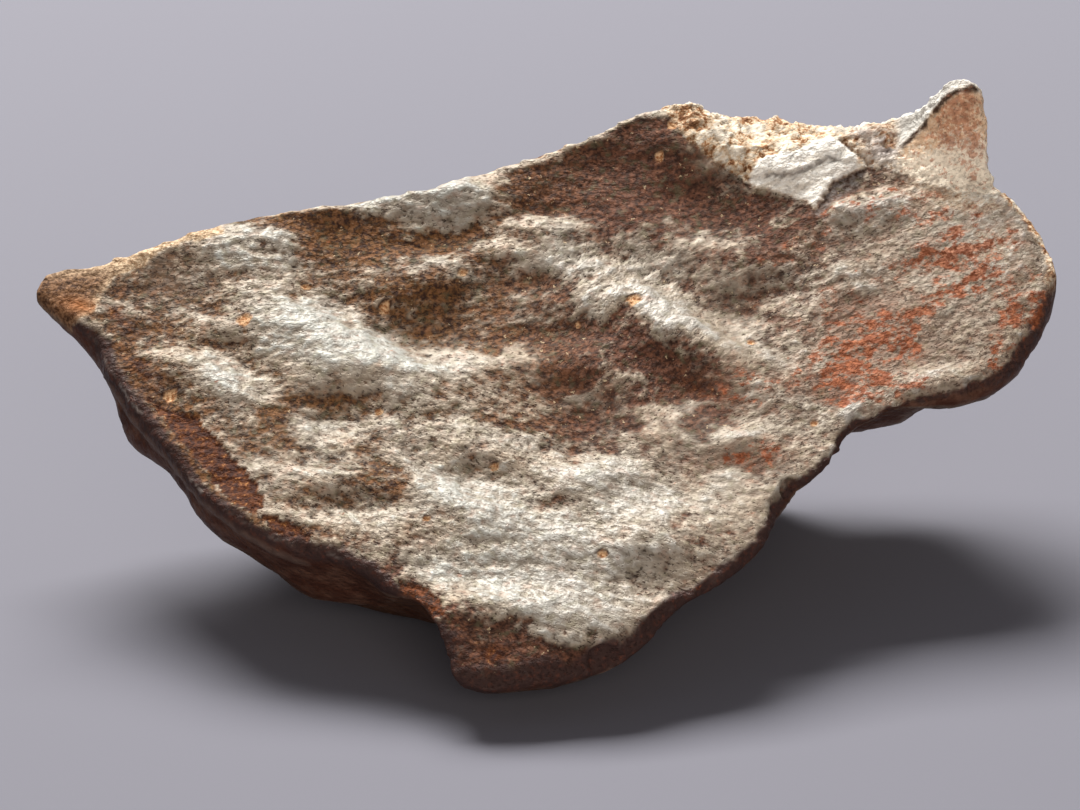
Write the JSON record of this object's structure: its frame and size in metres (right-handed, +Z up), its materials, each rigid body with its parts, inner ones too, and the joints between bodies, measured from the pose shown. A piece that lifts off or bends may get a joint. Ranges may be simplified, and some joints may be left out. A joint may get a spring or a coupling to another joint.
{
  "type": "chondrite meteorite",
  "caption": "Flake-shaped chondrite meteorite with a dimpled fusion-crusted face, thin side walls, a keeled underside with a flat spot to rest on, and a small horn.",
  "frame": {"origin": "under the middle of the stone's bounding box, on the surface that it rests on", "axes": "+X along the stone's length, +Y from the broad front face to the back, +Z up"},
  "size_m": [0.088, 0.0546, 0.0381],
  "materials": {
    "crust": "satin fusion crust, dark brown to grey, with rust-red weathering and a cream broken corner"
  },
  "bodies": {
    "root": {"meteorite": "crust"}
  },
  "joints": []
}
